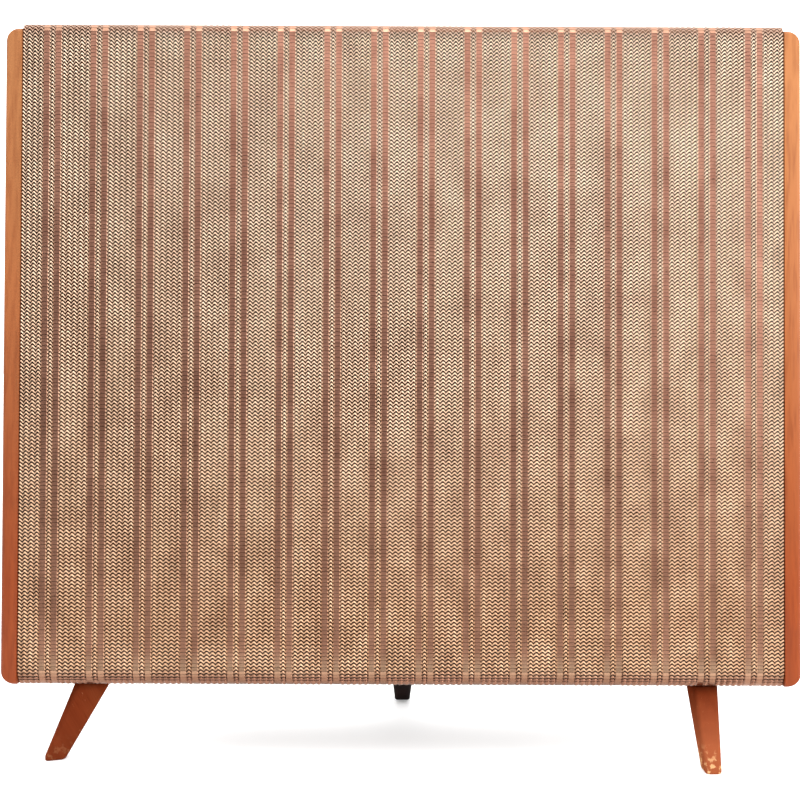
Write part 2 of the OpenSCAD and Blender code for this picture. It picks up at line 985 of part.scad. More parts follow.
// Ring around a leg's stud
module bush(r, h) {
    difference() {
        cylinder(r = r, h = h);
        translate([0, 0, -1])
            cylinder(r = stud_r + fit_gap, h = h + 2);
    }
}

// Tapered leg that leans towards +X; sections are [along, across] at the top and at the foot
module leg(run, top, foot) {
    bevel = 3;
    hull() {
        translate([0, 0, leg_h - eps])
            linear_extrude(height = eps)
                rounded_rect(top[0], top[1], 5, $fn = 32);
        translate([run * (1 - bevel / leg_h), 0, bevel])
            linear_extrude(height = eps)
                rounded_rect(foot[0] + 0.5, foot[1] + 0.4, 4, $fn = 32);
        translate([run, 0, 0])
            linear_extrude(height = eps)
                rounded_rect(foot[0] - 3, foot[1] - 3, 3, $fn = 32);
    }
}

front_top = [37, 28];
front_foot = [22.5, 18];
rear_top = [37.6, 32.4];
rear_foot = [23, 19];
front_stud_foot = 66;
rear_stud_foot = 75;

module placed_leg(at, turn, run, top, foot, stud_foot) {
    difference() {
        translate([at[0], at[1], 0])
            rotate([0, 0, turn])
                leg(run, top, foot);
        translate([at[0], at[1], stud_foot])
            cylinder(r = stud_r, h = leg_h);
    }
}

module left_leg() {
    color(leg_wood)
        placed_leg(front_pivots[0], left_leg_turn, front_leg_run, front_top, front_foot,
                   front_stud_foot);
}

module right_leg() {
    color(leg_wood)
        placed_leg(front_pivots[1], right_leg_turn, front_leg_run, front_top, front_foot,
                   front_stud_foot);
}

module rear_leg() {
    color([0.09, 0.06, 0.05])
        placed_leg(rear_pivot_at, 90, rear_leg_run, rear_top, rear_foot, rear_stud_foot);
}

module leg_stud(at, z0, z1) {
    color(steel)
        translate([at[0], at[1], z0])
            cylinder(r = stud_r, h = z1 - z0);
}

module left_leg_stud() {
    leg_stud(front_pivots[0], front_stud_foot, bush_z + 22);
}

module right_leg_stud() {
    leg_stud(front_pivots[1], front_stud_foot, bush_z + 22);
}

module rear_leg_stud() {
    leg_stud(rear_pivot_at, rear_stud_foot, bush_z + 16);
}

// ---------------------------------------------------------------- assembly

left_cheek();
right_cheek();
top_rail();
bottom_rail();
left_stile();
right_stile();
left_mullion();
right_mullion();
corner_blocks();
cheek_screws();
front_grille();
rear_grille();
grille_clamp_strips();
grille_screws();
bass_left_front_stator();
bass_left_spacer();
bass_left_diaphragm();
bass_left_rear_stator();
treble_front_stator();
treble_spacer();
treble_diaphragm();
treble_rear_stator();
bass_right_front_stator();
bass_right_spacer();
bass_right_diaphragm();
bass_right_rear_stator();
front_dust_covers();
rear_dust_covers();
treble_felt();
panel_clips();
leg_bushes();
electronics_tray();
electronics_cover();
cover_screws();
chassis_brace();
audio_transformer_core();
audio_transformer_windings();
mains_transformer_core();
mains_transformer_windings();
multiplier_block();
network_board();
network_parts();
hv_leads();
terminal_plate();
terminal_posts();
mains_inlet();
mains_pins();
selector_body();
fuse_holder();
fuse();
left_leg();
left_leg_stud();
right_leg();
right_leg_stud();
rear_leg();
rear_leg_stud();
red_terminal_nut();
black_terminal_nut();
selector_dial();
fuse_cap();
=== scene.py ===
import math

import bmesh
import bpy
import numpy as np
from mathutils import Matrix, Vector


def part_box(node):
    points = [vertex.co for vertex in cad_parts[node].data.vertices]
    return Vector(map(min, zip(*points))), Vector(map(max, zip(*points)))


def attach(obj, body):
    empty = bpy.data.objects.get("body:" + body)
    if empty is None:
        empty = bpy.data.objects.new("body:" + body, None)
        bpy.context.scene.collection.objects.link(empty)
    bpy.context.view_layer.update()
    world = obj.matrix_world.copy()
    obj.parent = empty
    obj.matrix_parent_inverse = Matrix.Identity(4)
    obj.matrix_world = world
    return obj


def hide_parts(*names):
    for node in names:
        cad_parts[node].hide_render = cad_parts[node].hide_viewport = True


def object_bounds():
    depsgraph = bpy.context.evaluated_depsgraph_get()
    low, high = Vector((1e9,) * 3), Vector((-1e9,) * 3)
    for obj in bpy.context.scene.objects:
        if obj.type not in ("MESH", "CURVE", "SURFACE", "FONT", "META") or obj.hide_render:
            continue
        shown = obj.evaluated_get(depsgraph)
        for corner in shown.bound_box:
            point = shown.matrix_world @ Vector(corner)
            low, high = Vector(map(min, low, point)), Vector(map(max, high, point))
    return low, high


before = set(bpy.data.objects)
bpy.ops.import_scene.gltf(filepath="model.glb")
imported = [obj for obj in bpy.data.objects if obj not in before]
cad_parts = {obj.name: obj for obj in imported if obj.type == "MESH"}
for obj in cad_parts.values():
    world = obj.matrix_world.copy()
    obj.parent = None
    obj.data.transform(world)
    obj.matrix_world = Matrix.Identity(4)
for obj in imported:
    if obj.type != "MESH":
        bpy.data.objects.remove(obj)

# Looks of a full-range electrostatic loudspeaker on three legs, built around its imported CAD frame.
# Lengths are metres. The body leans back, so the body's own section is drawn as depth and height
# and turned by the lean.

CAD_LOW, CAD_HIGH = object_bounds()

MM = 0.001

# Driving dimensions of the body, which the CAD shares
LEAN = math.radians(5)
PANEL_H = 728 * MM
BOTTOM_ROLL = 18 * MM
TOP_ROLL = 9 * MM
FLANGE = 46 * MM
COLUMN = 6.446 * MM
FLAT_PERIOD = 8
FIRST_FLAT = -61
FLAT_PAIRS = 16

# The body's front lower edge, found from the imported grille
GRILLE_LOW, GRILLE_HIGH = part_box("front_grille")
FRONT_Y = GRILLE_LOW.y - BOTTOM_ROLL * (math.cos(LEAN) + math.sin(LEAN) - 1)
GROUND = GRILLE_LOW.z + FLANGE * math.sin(LEAN)


# ---------------------------------------------------------------- camera

# Fitted to the outline and the grille's columns: degrees of pan, tilt and roll, and the camera's place
SENSOR_WIDTH = 36
FOCAL_LENGTH = 53.85
PAN = -0.03
TILT_DOWN = 4.06
ROLL = 0.227
CAMERA_X = -2.8 * MM
CAMERA_BEFORE_PANEL = 1.283
CAMERA_HEIGHT = 0.4964


def make_camera():
    """A long lens a little above the middle of the panel, looking slightly down."""
    data = bpy.data.cameras.new("camera")
    data.sensor_width = SENSOR_WIDTH
    data.lens = FOCAL_LENGTH
    camera = bpy.data.objects.new("camera", data)
    bpy.context.scene.collection.objects.link(camera)
    turn = (
        Matrix.Rotation(math.radians(PAN), 4, "Z")
        @ Matrix.Rotation(math.radians(90 - TILT_DOWN), 4, "X")
        @ Matrix.Rotation(math.radians(ROLL), 4, "Z")
    )
    place_at = (CAMERA_X, FRONT_Y - CAMERA_BEFORE_PANEL, CAMERA_HEIGHT)
    camera.matrix_world = Matrix.Translation(place_at) @ turn
    bpy.context.scene.camera = camera


make_camera()


# ---------------------------------------------------------------- shader helpers

# Places of the colour sockets on a mix node, which has one set for each type of data
MIX_SHARE, MIX_A, MIX_B = 0, 6, 7
MIX_RESULT = 2


class Finish:
    """One procedural material: a Principled shader and the textures that feed it."""

    def __init__(self, name, **constants):
        self.material = bpy.data.materials.new(name)
        self.material.use_nodes = True
        self.tree = self.material.node_tree
        self.shader = self.tree.nodes["Principled BSDF"]
        for socket, value in constants.items():
            self.shader.inputs[socket.replace("_", " ")].default_value = value

    def node(self, kind, **settings):
        made = self.tree.nodes.new(kind)
        for key, value in settings.items():
            setattr(made, key, value)
        return made

    def link(self, source, target):
        self.tree.links.new(source, target)

    def coords(self, scale=(1, 1, 1), turn=(0, 0, 0)):
        """The piece's own coordinates in metres, turned and then scaled per axis."""
        own = self.node("ShaderNodeTexCoord")
        turned = self.node("ShaderNodeMapping")
        turned.inputs["Rotation"].default_value = [math.radians(a) for a in turn]
        self.link(own.outputs["Object"], turned.inputs["Vector"])
        scaled = self.node("ShaderNodeMapping")
        scaled.inputs["Scale"].default_value = scale
        self.link(turned.outputs[0], scaled.inputs["Vector"])
        return scaled.outputs[0]

    def noise(self, vector, scale, detail=3.0, rough=0.5, distortion=0.0):
        made = self.node("ShaderNodeTexNoise")
        made.inputs["Scale"].default_value = scale
        made.inputs["Detail"].default_value = detail
        made.inputs["Roughness"].default_value = rough
        made.inputs["Distortion"].default_value = distortion
        self.link(vector, made.inputs["Vector"])
        return made.outputs["Fac"]

    def cells(self, vector, scale):
        made = self.node("ShaderNodeTexVoronoi", feature="SMOOTH_F1")
        made.inputs["Scale"].default_value = scale
        self.link(vector, made.inputs["Vector"])
        return made.outputs["Distance"]

    def ramp(self, value, *stops):
        """Colours at positions along 0 to 1; a plain number makes a grey."""
        made = self.node("ShaderNodeValToRGB")
        points = made.color_ramp.elements
        while len(points) < len(stops):
            points.new(0.5)
        for point, (position, colour) in zip(points, stops):
            point.position = position
            point.color = (colour,) * 3 + (1,) if isinstance(colour, (int, float)) else (*colour, 1)
        self.link(value, made.inputs["Fac"])
        return made.outputs["Color"]

    def mix(self, share, a, b):
        """a and b are colours or sockets; share is a number or a socket."""
        made = self.node("ShaderNodeMix", data_type="RGBA")
        for socket, value in ((MIX_SHARE, share), (MIX_A, a), (MIX_B, b)):
            if isinstance(value, bpy.types.NodeSocket):
                self.link(value, made.inputs[socket])
            elif socket == MIX_SHARE:
                made.inputs[socket].default_value = value
            else:
                made.inputs[socket].default_value = (*value, 1)
        return made.outputs[MIX_RESULT]

    def spread(self, value, low, high, to_low=0.0, to_high=1.0):
        made = self.node("ShaderNodeMapRange")
        made.inputs["From Min"].default_value = low
        made.inputs["From Max"].default_value = high
        made.inputs["To Min"].default_value = to_low
        made.inputs["To Max"].default_value = to_high
        self.link(value, made.inputs["Value"])
        return made.outputs["Result"]

    def product(self, a, b):
        made = self.node("ShaderNodeMath", operation="MULTIPLY")
        for socket, value in enumerate((a, b)):
            if isinstance(value, bpy.types.NodeSocket):
                self.link(value, made.inputs[socket])
            else:
                made.inputs[socket].default_value = value
        return made.outputs[0]

    def sum(self, a, b):
        made = self.node("ShaderNodeMath", operation="ADD")
        self.link(a, made.inputs[0])
        made.inputs[1].default_value = b
        return made.outputs[0]

    def modulo(self, a, b):
        made = self.node("ShaderNodeMath", operation="FLOORED_MODULO")
        self.link(a, made.inputs[0])
        made.inputs[1].default_value = b
        return made.outputs[0]

    def axis(self, vector, name):
        made = self.node("ShaderNodeSeparateXYZ")
        self.link(vector, made.inputs[0])
        return made.outputs[name]

    def colour(self, socket):
        self.link(socket, self.shader.inputs["Base Color"])

    def rough(self, value, low, high):
        """Roughness runs from low to high as value runs from 0.3 to 0.7, where noise mostly lies."""
        self.link(self.spread(value, 0.3, 0.7, low, high), self.shader.inputs["Roughness"])

    def bump(self, height, strength, distance):
        made = self.node("ShaderNodeBump")
        made.inputs["Strength"].default_value = strength
        made.inputs["Distance"].default_value = distance
        self.link(height, made.inputs["Height"])
        self.link(made.outputs["Normal"], self.shader.inputs["Normal"])


# ---------------------------------------------------------------- materials

def wood(name, dark, middle, light, turn=(0, 0, 0), rough=(0.34, 0.46), coat=0, shine=0.28):
    """Straight-grained hardwood whose grain runs along its own Z after the turn."""
    finish = Finish(name, Coat_Weight=coat, Coat_Roughness=0.22, Specular_IOR_Level=shine)
    figure = finish.noise(finish.coords((26, 26, 1.3), turn), 1.0, 5, 0.62, 0.6)
    bands = finish.ramp(figure, (0.30, dark), (0.50, middle), (0.72, light))
    pores = finish.noise(finish.coords((900, 900, 26), turn), 1.0, 2, 0.5)
    pored = finish.mix(finish.spread(pores, 0.56, 0.72, 0, 0.55), bands, dark)
    blotch = finish.noise(finish.coords((9, 9, 4), turn), 1.0, 2, 0.5)
    finish.colour(finish.mix(finish.spread(blotch, 0.42, 0.68, 0, 0.35), pored, light))
    finish.rough(figure, *rough)
    finish.bump(pores, 0.12, 0.0003)
    return finish


def cheek_wood():
    """Lacquered cheek, redder and deeper low down. Painted light makes it more orange and lighter
    towards the top, and lighter on the right cheek than on the left.
    """
    dark = (0.12, 0.018, 0.004)
    finish = wood("cheek_wood", dark, (0.20, 0.034, 0.007), (0.27, 0.058, 0.013), coat=0.05, shine=0.15)
    where = finish.coords()
    across = finish.axis(where, "X")
    base = finish.shader.inputs["Base Color"].links[0].from_socket
    # painted light: the cheek at positive X, on the right, is made lighter as if lit from the right
    painted_light_right_cheek = finish.mix(finish.spread(across, -0.2, 0.2, 0, 0.35), base, (0.32, 0.060, 0.008))
    # painted light: more orange and lighter towards the top, a little more on the right cheek
    painted_light_top = finish.product(finish.spread(finish.axis(where, "Z"), 0.20, 0.75),
                           finish.spread(across, -0.2, 0.2, 0.55, 0.62))
    with_painted_light_top = finish.mix(painted_light_top, painted_light_right_cheek, (0.46, 0.210, 0.080))
    streaks = finish.noise(finish.coords((260, 260, 2)), 1.0, 3, 0.5)
    finish.colour(finish.mix(finish.spread(streaks, 0.45, 0.70, 0, 0.35), with_painted_light_top, dark))
    return finish.material


# Turn in degrees that lays the grain along a leaning leg
LEG_GRAIN = (0, -26, 0)


def leg_wood():
    """Front leg: red-brown stain with scratches, and pale worn patches low down on the right one, where
    painted light also makes the lower part lighter.
    """
    finish = wood("leg_wood", (0.12, 0.018, 0.005), (0.18, 0.031, 0.009), (0.245, 0.055, 0.018),
                  turn=LEG_GRAIN, shine=0)
    where = finish.coords()
    height = finish.axis(where, "Z")
    patches = finish.noise(where, 120, 4, 0.65)
    foot = finish.spread(height, 0.030, 0.004)
    standing = finish.node("ShaderNodeObjectInfo").outputs["Location"]
    right_leg = finish.spread(finish.axis(standing, "X"), -0.1, 0.1, 0.12, 1.0)
    worn = finish.product(finish.product(finish.spread(patches, 0.50, 0.58), foot), right_leg)
    # painted light: the lower part of the right leg is made lighter, as if lit more than the left one
    painted_light_low_right = finish.product(finish.product(right_leg, finish.spread(height, 0.080, 0.025)), 0.6)
    scratches = finish.noise(finish.coords((420, 420, 60), LEG_GRAIN), 1.0, 3, 0.7)
    marks = finish.spread(scratches, 0.70, 0.74, 0, 0.6)
    base = finish.shader.inputs["Base Color"].links[0].from_socket
    # the base a little darker, then the painted light added low on the right leg
    with_painted_light = finish.mix(painted_light_low_right, finish.mix(0.35, base, (0.05, 0.008, 0.003)), (0.36, 0.10, 0.04))
    # pale worn patches near the right foot, laid over the painted light
    tones_and_painted_light = finish.mix(worn, with_painted_light, (0.60, 0.34, 0.16))
    finish.colour(finish.mix(marks, tones_and_painted_light, (0.46, 0.22, 0.11)))
    return finish.material


def flat_share(finish, where):
    """1 on the grille's flat strips and 0 on its raised mesh, from the columns' pitch."""
    columns = finish.sum(finish.product(finish.axis(where, "X"), 1 / COLUMN), 0.5 - FIRST_FLAT)
    in_period = finish.product(finish.modulo(columns, FLAT_PERIOD), 1 / FLAT_PERIOD)
    column = 1 / FLAT_PERIOD
    share = finish.ramp(in_period, (0, 1), (column, 0), (2 * column, 1), (3 * column, 0))
    share.node.color_ramp.interpolation = "CONSTANT"
    return share


def grille_bronze():
    """Bronze lacquer on a formed sheet, copper-brown, with the raised strands painted pale as a
    highlight.

    Both grow lighter to the top and right, as painted light. The two rolled edges have their own tones.
    """
    finish = Finish("grille_bronze")
    where = finish.coords()
    mottle = finish.noise(finish.coords((1, 1, 0.6)), 38, 4, 0.6)
    drift = finish.noise(finish.coords((30, 1, 2)), 1, 2, 0.5)
    height = finish.axis(where, "Z")
    # painted light: lighter towards the top and the right
    painted_light_top_right = finish.product(finish.spread(height, 0.17, 0.70),
                           finish.spread(finish.axis(where, "X"), -0.42, 0, 0.65, 1.0))
    # the strands' pale tones are a painted highlight on the bronze; each pair is a shaded and a lit
    # copy of one tone
    shaded_strand = finish.ramp(mottle, (0.30, (0.50, 0.285, 0.165)), (0.52, (0.66, 0.40, 0.24)),
                              (0.70, (0.78, 0.50, 0.32)))
    lit_strand = finish.ramp(mottle, (0.30, (0.78, 0.58, 0.43)), (0.52, (0.90, 0.70, 0.53)),
                              (0.70, (0.95, 0.77, 0.60)))
    shaded_flat = finish.ramp(mottle, (0.30, (0.28, 0.135, 0.085)), (0.70, (0.42, 0.215, 0.140)))
    lit_flat = finish.ramp(mottle, (0.30, (0.47, 0.215, 0.150)), (0.70, (0.70, 0.350, 0.245)))
    strand = finish.mix(painted_light_top_right, shaded_strand, lit_strand)
    flat = finish.mix(painted_light_top_right, shaded_flat, lit_flat)
    # painted highlight: the flats of the lower roll turn a light tan
    painted_highlight_low_roll = finish.spread(height, GROUND + 38 * MM, GROUND + 20 * MM, 0, 0.75)
    # a darker, greyer tan on the top few millimetres of the flats
    top_roll = finish.spread(height, CAD_HIGH.z - 9 * MM, CAD_HIGH.z - 6 * MM, 0, 0.7)
    # painted shade: darker along the very bottom edge, on flats and strands
    under = finish.spread(height, GROUND + 20 * MM, GROUND + 8 * MM, 0, 0.9)
    low_flat = finish.mix(under, finish.mix(painted_highlight_low_roll, flat, (0.44, 0.285, 0.18)), (0.22, 0.110, 0.068))
    tones_and_painted_light = finish.mix(top_roll, low_flat, (0.27, 0.165, 0.105))
    # painted shade: the strands darker near the top edge
    over = finish.spread(height, CAD_HIGH.z - 18 * MM, CAD_HIGH.z - 5 * MM, 0, 0.85)
    edged = finish.mix(over, finish.mix(under, strand, (0.24, 0.105, 0.065)), (0.29, 0.162, 0.110))
    share = flat_share(finish, where)
    both = finish.mix(share, edged, tones_and_painted_light)
    finish.colour(finish.mix(finish.spread(drift, 0.40, 0.65, 0, 0.12), both, (0.44, 0.215, 0.145)))
    finish.link(finish.spread(share, 0, 1, 0.75, 1.0), finish.shader.inputs["Metallic"])
    grain = finish.noise(finish.coords((160, 900, 900)), 1.0, 3, 0.6)
    finish.rough(grain, 0.26, 0.38)
    finish.bump(grain, 0.10, 0.0002)
    return finish.material


def rear_enamel():
    """Brown hammered enamel on the metal at the back."""
    finish = Finish("rear_enamel", Coat_Weight=0.3, Coat_Roughness=0.18)
    hammer = finish.cells(finish.coords(), 420)
    shade = finish.noise(finish.coords(), 14, 4, 0.6)
    finish.colour(finish.ramp(shade, (0.30, (0.042, 0.024, 0.015)), (0.70, (0.070, 0.040, 0.026))))
    finish.rough(shade, 0.34, 0.50)
    finish.bump(hammer, 0.35, 0.0004)
    return finish.material


def metal(name, dull, bright, rough):
    """Bare or plated metal with tarnish and a fine grain."""
    finish = Finish(name, Metallic=1.0)
    tarnish = finish.noise(finish.coords(), 60, 5, 0.6)
    finish.colour(finish.ramp(tarnish, (0.32, dull), (0.66, bright)))
    grain = finish.noise(finish.coords(), 900, 2, 0.5)
    finish.rough(tarnish, *rough)
    finish.bump(grain, 0.08, 0.0001)
    return finish.material


def moulded(name, dark, light, rough=(0.30, 0.45)):
    """Moulded plastic: slight flow marks, a soft orange-peel skin and dulled patches."""
    finish = Finish(name, Coat_Weight=0.2, Coat_Roughness=0.15)
    flow = finish.noise(finish.coords((1, 1, 2)), 90, 4, 0.55, 0.8)
    finish.colour(finish.ramp(flow, (0.32, dark), (0.68, light)))
    finish.rough(flow, *rough)
    finish.bump(finish.noise(finish.coords(), 1400, 2, 0.5), 0.10, 0.0001)
    return finish.material


def board(name, dark, light):
    """Paper and resin laminate with visible fibre."""
    finish = Finish(name, Coat_Weight=0.15, Coat_Roughness=0.35)
    fibre = finish.noise(finish.coords((1, 1, 7)), 160, 4, 0.7)
    finish.colour(finish.ramp(fibre, (0.34, dark), (0.66, light)))
    finish.rough(fibre, 0.42, 0.60)
    finish.bump(fibre, 0.15, 0.0002)
    return finish.material


def film():
    """Thin stretched plastic film whose dark red-brown is painted shade for the openings of the grille.
    """
    finish = Finish("film", Roughness=0.7, Specular_IOR_Level=0.02)
    wave = finish.noise(finish.coords((1, 1, 0.3)), 18, 2, 0.5)
    # painted shade: a dark red-brown that stands in for the shade behind the grille
    finish.colour(finish.ramp(wave, (0.3, (0.030, 0.009, 0.003)), (0.7, (0.052, 0.016, 0.006))))
    finish.bump(wave, 0.3, 0.002)
    return finish.material


def felt():
    """Pressed wool felt."""
    finish = Finish("felt", Roughness=0.95, Sheen_Weight=0.35)
    fibres = finish.noise(finish.coords(), 700, 6, 0.75)
    finish.colour(finish.ramp(fibres, (0.30, (0.10, 0.11, 0.12)), (0.70, (0.22, 0.23, 0.25))))
    finish.bump(fibres, 0.6, 0.001)
    return finish.material


def lamination():
    """Edges of stacked iron sheets under varnish."""
    finish = Finish("lamination", Metallic=0.6, Coat_Weight=0.3, Coat_Roughness=0.3)
    sheets = finish.noise(finish.coords((1, 1800, 1)), 1.0, 1, 0.5)
    stain = finish.noise(finish.coords(), 70, 4, 0.6)
    finish.colour(finish.ramp(stain, (0.3, (0.060, 0.052, 0.050)), (0.7, (0.120, 0.105, 0.100))))
    finish.rough(stain, 0.40, 0.60)
    finish.bump(sheets, 0.5, 0.0003)
    return finish.material


def winding():
    """Waxed paper wrapped round a coil, with the turns showing through."""
    finish = Finish("winding", Coat_Weight=0.25, Coat_Roughness=0.3)
    stain = finish.noise(finish.coords(), 60, 4, 0.6)
    finish.colour(finish.ramp(stain, (0.3, (0.42, 0.24, 0.07)), (0.7, (0.60, 0.38, 0.14))))
    turns = finish.node("ShaderNodeTexWave", bands_direction="Z")
    turns.inputs["Scale"].default_value = 160
    finish.link(finish.coords(), turns.inputs["Vector"])
    finish.rough(stain, 0.40, 0.55)
    finish.bump(turns.outputs["Fac"], 0.25, 0.0004)
    return finish.material


MATERIALS = {
    "cheek_wood": cheek_wood(),
    "leg_wood": leg_wood(),
    "ebonised_wood": wood("ebonised_wood", (0.003, 0.001, 0.001), (0.006, 0.002, 0.002),
                          (0.012, 0.005, 0.004), turn=(45, 0, 0), rough=(0.45, 0.60),
                          shine=0.02).material,
    "frame_wood": wood("frame_wood", (0.020, 0.010, 0.006), (0.036, 0.019, 0.011),
                       (0.055, 0.031, 0.019), rough=(0.60, 0.75)).material,
    "grille_bronze": grille_bronze(),
    "rear_enamel": rear_enamel(),
    "blackened_steel": metal("blackened_steel", (0.020, 0.014, 0.012), (0.045, 0.034, 0.030),
                             (0.4, 0.6)),
    "steel": metal("steel", (0.30, 0.29, 0.28), (0.52, 0.51, 0.50), (0.28, 0.46)),
    "brass": metal("brass", (0.42, 0.26, 0.08), (0.72, 0.50, 0.20), (0.22, 0.40)),
    "clip_aluminium": metal("clip_aluminium", (0.50, 0.50, 0.51), (0.70, 0.70, 0.71), (0.35, 0.5)),
    "film": film(),
    "felt": felt(),
    "lamination": lamination(),
    "winding": winding(),
    "potting": moulded("potting", (0.050, 0.022, 0.012), (0.095, 0.045, 0.024), (0.35, 0.55)),
    "brown_board": board("brown_board", (0.12, 0.045, 0.015), (0.21, 0.085, 0.032)),
    "spacer_board": board("spacer_board", (0.36, 0.25, 0.13), (0.50, 0.37, 0.21)),
    "black_board": board("black_board", (0.008, 0.007, 0.006), (0.020, 0.017, 0.015)),
    "stator_black": board("stator_black", (0.010, 0.007, 0.006), (0.026, 0.018, 0.014)),
    "stator_grey": board("stator_grey", (0.024, 0.022, 0.020), (0.050, 0.046, 0.042)),
    "component": moulded("component", (0.20, 0.045, 0.020), (0.34, 0.095, 0.045)),
    "lead_rubber": moulded("lead_rubber", (0.17, 0.012, 0.010), (0.27, 0.024, 0.018), (0.5, 0.65)),
    "black_plastic": moulded("black_plastic", (0.008, 0.007, 0.007), (0.018, 0.016, 0.015)),
    "red_plastic": moulded("red_plastic", (0.34, 0.012, 0.010), (0.50, 0.026, 0.018)),
    "cream_plastic": moulded("cream_plastic", (0.50, 0.42, 0.27), (0.64, 0.56, 0.39)),
    "fuse_glass": moulded("fuse_glass", (0.50, 0.52, 0.52), (0.68, 0.70, 0.70), (0.08, 0.18)),
}
# The grille's darker bronze where the sheet has no pattern; on the hems it is painted shade behind the
# strands
PLAIN_BRONZE = metal("grille_bronze_plain", (0.13, 0.050, 0.030), (0.24, 0.100, 0.062), (0.34, 0.50))


def dress_cad_nodes():
    """Every carried-over CAD node takes the procedural material of its own slot."""
    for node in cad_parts.values():
        for slot in node.material_slots:
            slot.material = MATERIALS[slot.material.name.split(".")[0]]
    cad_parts["grille_clamp_strips"].material_slots[0].material = PLAIN_BRONZE


# ---------------------------------------------------------------- mesh helpers

def mesh_object(name, points, faces, material_name, body, replaced=(), smooth=None):
    """A piece from an (n, 3) array of points and an (m, 4) array of quads, riding on a body."""
    mesh = bpy.data.meshes.new(name)
    points = np.asarray(points, np.float32).reshape(-1, 3)
    faces = np.asarray(faces, np.int32)
    mesh.vertices.add(len(points))
    mesh.vertices.foreach_set("co", points.ravel())
    mesh.loops.add(faces.size)
    mesh.loops.foreach_set("vertex_index", faces.ravel())
    mesh.polygons.add(len(faces))
    mesh.polygons.foreach_set("loop_start", np.arange(0, faces.size, 4, dtype=np.int32))
    if smooth is not None:
        mesh.polygons.foreach_set("use_smooth", smooth)
    mesh.update(calc_edges=True)
    return place(name, mesh, material_name, body, replaced)


def place(name, mesh, material_name, body, replaced=(), matrix=None):
    """Links a mesh as a piece, gives it its material and lets it ride on its body."""
    mesh.materials.append(MATERIALS[material_name])
    piece = bpy.data.objects.new(name, mesh)
    bpy.context.scene.collection.objects.link(piece)
    if matrix is not None:
        piece.matrix_world = matrix
    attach(piece, body)
    if replaced:
        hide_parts(*replaced)
    return piece


def body_world(depth, height):
    """World y and z of points given by depth and height in the leaning body's section."""
    y = FRONT_Y + depth * math.cos(LEAN) + height * math.sin(LEAN)
    z = GROUND + height * math.cos(LEAN) - depth * math.sin(LEAN)
    return y, z


# ---------------------------------------------------------------- front grille

# Runs along the sheet's profile, and how far its rolled edges swell, fading out along the flange
ROW = 4.03 * MM
BOTTOM_RUN = FLANGE - BOTTOM_ROLL
BOTTOM_ARC = BOTTOM_ROLL * math.pi / 2
FACE_RUN = PANEL_H - BOTTOM_ROLL - TOP_ROLL
TOP_ARC = TOP_ROLL * math.pi / 2
TOP_RUN = FLANGE - TOP_ROLL
WRAP = BOTTOM_RUN + BOTTOM_ARC + FACE_RUN + TOP_ARC + TOP_RUN
ROLL_LIP = 1.8 * MM
LIP_FADE = 6 * MM


def roll_lip(run):
    """How far the sheet's two rolled edges swell beyond their plain radius."""
    low = np.interp(run, (BOTTOM_RUN - LIP_FADE, BOTTOM_RUN, BOTTOM_RUN + BOTTOM_ARC), (0, ROLL_LIP, 0))
    top = np.interp(run, (WRAP - TOP_RUN - TOP_ARC, WRAP - TOP_RUN), (0, ROLL_LIP))
    return low + top


def wrapped(run, out):
    """Depth and height at a run along the wrapped sheet, from its lower rear edge, standing out."""
    out = out + roll_lip(run)
    turn_low = np.clip((run - BOTTOM_RUN) / BOTTOM_ROLL, 0, math.pi / 2)
    turn_top = np.clip((run - BOTTOM_RUN - BOTTOM_ARC - FACE_RUN) / TOP_ROLL, 0, math.pi / 2)
    on_low_flange = np.minimum(run - BOTTOM_RUN, 0)
    on_face = np.clip(run - BOTTOM_RUN - BOTTOM_ARC, 0, FACE_RUN)
    on_top_flange = np.maximum(run - (WRAP - TOP_RUN), 0)
    low = run < BOTTOM_RUN + BOTTOM_ARC + FACE_RUN / 2
    depth_low = BOTTOM_ROLL - (BOTTOM_ROLL + out) * np.sin(turn_low) - on_low_flange
    height_low = BOTTOM_ROLL - (BOTTOM_ROLL + out) * np.cos(turn_low) + on_face
    depth_top = TOP_ROLL - (TOP_ROLL + out) * np.cos(turn_top) + on_top_flange
    height_top = (PANEL_H - TOP_ROLL - FACE_RUN + on_face) + (TOP_ROLL + out) * np.sin(turn_top)
    return np.where(low, depth_low, depth_top), np.where(low, height_low, height_top)


